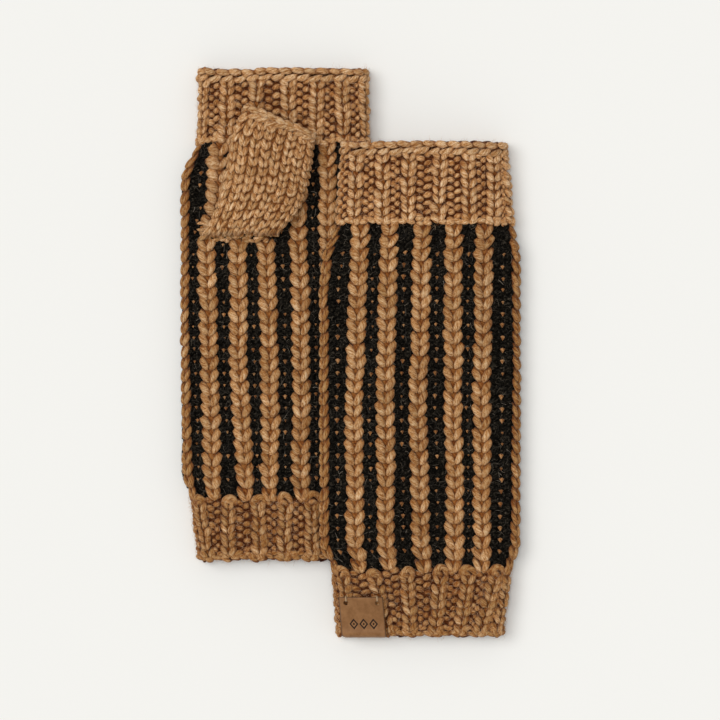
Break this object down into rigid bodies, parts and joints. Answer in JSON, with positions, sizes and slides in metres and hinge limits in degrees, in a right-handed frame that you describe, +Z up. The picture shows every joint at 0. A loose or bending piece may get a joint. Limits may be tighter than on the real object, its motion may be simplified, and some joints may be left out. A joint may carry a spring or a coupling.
{
  "type": "fingerless gloves",
  "caption": "Pair of two-colour ribbed knit fingerless gloves with plain rib cuffs, folded thumb sleeves and a leather hem tab, one lying partly on the other.",
  "frame": {"origin": "middle of the pair's footprint, on the surface that it lies on", "axes": "+Y from the wrists to the fingers, +X from the left glove towards the right glove, +Z up from the table"},
  "size_m": [0.1708, 0.2854, 0.0264],
  "materials": {
    "tan_yarn": "heathered camel wool blend, soft sheen",
    "black_yarn": "matte brushed black wool blend",
    "leather": "smooth mid-brown leather, satin",
    "thread": "pale waxed thread"
  },
  "bodies": {
    "root": {"left_wrist_cast_on_edge": "tan_yarn", "left_wrist_cuff": "tan_yarn", "left_hand": "black_yarn", "left_finger_cuff": "tan_yarn", "left_finger_bind_off_edge": "tan_yarn"},
    "left_thumb": {"left_thumb_sleeve": "tan_yarn", "left_thumb_bind_off_edge": "tan_yarn"},
    "right_glove": {"right_wrist_cast_on_edge": "tan_yarn", "right_wrist_cuff": "tan_yarn", "right_hand": "black_yarn", "right_finger_cuff": "tan_yarn", "right_finger_bind_off_edge": "tan_yarn", "right_hem_tab": "leather", "right_tab_tack_thumb_side": "thread", "right_tab_tack_little_finger_side": "thread"},
    "right_thumb": {"right_thumb_sleeve": "tan_yarn", "right_thumb_bind_off_edge": "tan_yarn"}
  },
  "joints": [
    {"name": "left_thumb_fold", "type": "hinge", "parent": "root", "child": "left_thumb", "pos_m": [-0.0495, 0.058, 0.0177], "axis": [1, 0, 0], "range_deg": [0, 90]},
    {"name": "right_glove_lift", "type": "slide", "parent": "root", "child": "right_glove", "axis": [0, 0, 1], "range_m": [0, 0.09]},
    {"name": "right_thumb_fold", "type": "hinge", "parent": "right_glove", "child": "right_thumb", "pos_m": [0.0365, 0.021, 0.0046], "axis": [-1, 0, 0], "range_deg": [0, 60.2]}
  ],
  "couplings": [
    {"joint": "right_thumb_fold", "follows": "right_glove_lift", "rad_per_m": 11.636}
  ]
}
